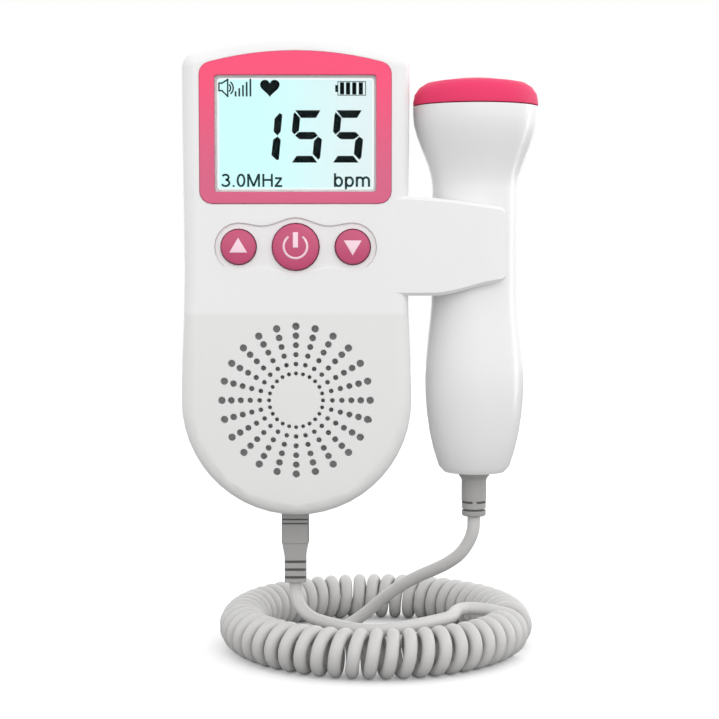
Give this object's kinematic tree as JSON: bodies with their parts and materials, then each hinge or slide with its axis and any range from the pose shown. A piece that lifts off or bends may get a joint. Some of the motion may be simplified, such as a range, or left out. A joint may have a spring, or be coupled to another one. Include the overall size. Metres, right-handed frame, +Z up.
{
  "type": "fetal doppler",
  "caption": "Pocket fetal doppler with a backlit display, three buttons, a speaker grille, a handheld ultrasound probe in a side clip, and a curly cord to a modular plug",
  "frame": {"origin": "on the flat back of the unit, on its centre line, 108 mm above its lower end and 27 mm below its top", "axes": "+X to the right as seen from the front, where the probe is; +Y out of the flat back; +Z up along the unit; metres"},
  "size_m": [0.1019, 0.0923, 0.1773],
  "materials": {
    "battery_cell_left": "printed sleeve on steel",
    "battery_cell_right": "printed sleeve on steel",
    "battery_door": "white satin ABS",
    "case_screw_1": "zinc plated",
    "case_screw_2": "zinc plated",
    "case_screw_3": "zinc plated",
    "case_screw_4": "zinc plated",
    "contact_plate_lower_left": "nickel plated",
    "contact_plate_lower_right": "nickel plated",
    "contact_plate_upper_left": "nickel plated",
    "contact_plate_upper_right": "nickel plated",
    "contact_spring_left": "nickel plated",
    "contact_spring_right": "nickel plated",
    "cord_coil": "satin grey jacket",
    "cord_lead_probe": "satin grey jacket",
    "cord_lead_unit": "satin grey jacket",
    "crystal_backing": "loaded resin",
    "crystal_left": "piezo ceramic",
    "crystal_right": "piezo ceramic",
    "display_bezel": "pink, slightly pearly",
    "display_window": "clear",
    "front_shell": "white satin ABS",
    "headphone_jack": "black",
    "lcd_backlight": "milky light guide",
    "lcd_panel": "pale cyan, with dark segments",
    "main_board": "green solder mask",
    "plug_body": "grey moulding",
    "plug_boot": "soft grey moulding",
    "plug_contacts": "gold plated",
    "power_button": "soft pink",
    "power_switch": "black",
    "probe_board": "green solder mask",
    "probe_cap": "pink, slightly pearly",
    "probe_handle": "white satin ABS",
    "probe_socket": "black",
    "probe_strain_relief": "soft grey moulding",
    "rear_shell": "white satin ABS",
    "speaker_basket": "black",
    "speaker_cone": "doped paper",
    "speaker_magnet": "plated steel",
    "speaker_mesh": "woven dust mesh",
    "volume_down_button": "soft pink",
    "volume_down_switch": "black",
    "volume_up_button": "soft pink",
    "volume_up_switch": "black"
  },
  "bodies": {
    "unit": {"battery_cell_left": "battery_cell_left", "battery_cell_right": "battery_cell_right", "case_screw_1": "case_screw_1", "case_screw_2": "case_screw_2", "case_screw_3": "case_screw_3", "case_screw_4": "case_screw_4", "contact_plate_lower_left": "contact_plate_lower_left", "contact_plate_lower_right": "contact_plate_lower_right", "contact_plate_upper_left": "contact_plate_upper_left", "contact_plate_upper_right": "contact_plate_upper_right", "contact_spring_left": "contact_spring_left", "contact_spring_right": "contact_spring_right", "display_bezel": "display_bezel", "display_window": "display_window", "front_shell": "front_shell", "headphone_jack": "headphone_jack", "lcd_backlight": "lcd_backlight", "lcd_panel": "lcd_panel", "main_board": "main_board", "power_switch": "power_switch", "probe_socket": "probe_socket", "rear_shell": "rear_shell", "speaker_basket": "speaker_basket", "speaker_cone": "speaker_cone", "speaker_magnet": "speaker_magnet", "speaker_mesh": "speaker_mesh", "volume_down_switch": "volume_down_switch", "volume_up_switch": "volume_up_switch", "cord_coil": "cord_coil", "cord_lead_unit": "cord_lead_unit", "cord_lead_probe": "cord_lead_probe"},
    "power_button": {"power_button": "power_button"},
    "volume_up_button": {"volume_up_button": "volume_up_button"},
    "volume_down_button": {"volume_down_button": "volume_down_button"},
    "battery_door": {"battery_door": "battery_door"},
    "probe": {"probe_handle": "probe_handle", "probe_cap": "probe_cap", "crystal_left": "crystal_left", "crystal_right": "crystal_right", "crystal_backing": "crystal_backing", "probe_board": "probe_board", "probe_strain_relief": "probe_strain_relief"},
    "plug": {"plug_body": "plug_body", "plug_boot": "plug_boot", "plug_contacts": "plug_contacts"}
  },
  "joints": [
    {"name": "power_button_travel", "type": "slide", "parent": "unit", "child": "power_button", "axis": [0, 1, 0], "range_m": [0, 0.0006], "stiffness_N_per_m": 900},
    {"name": "volume_up_button_travel", "type": "slide", "parent": "unit", "child": "volume_up_button", "axis": [0, 1, 0], "range_m": [0, 0.0006], "stiffness_N_per_m": 900},
    {"name": "volume_down_button_travel", "type": "slide", "parent": "unit", "child": "volume_down_button", "axis": [0, 1, 0], "range_m": [0, 0.0006], "stiffness_N_per_m": 900},
    {"name": "battery_door_swing", "type": "hinge", "parent": "unit", "child": "battery_door", "pos_m": [0, 0, -0.079], "axis": [-1, 0, 0], "range_deg": [0, 70]},
    {"name": "probe_release", "type": "slide", "parent": "unit", "child": "probe", "axis": [1, 0, 0], "range_m": [0, 0.03], "deforming": ["cord_lead_probe"]},
    {"name": "plug_release", "type": "slide", "parent": "unit", "child": "plug", "axis": [0, 0, -1], "range_m": [0, 0.01], "deforming": ["cord_lead_unit"]}
  ]
}
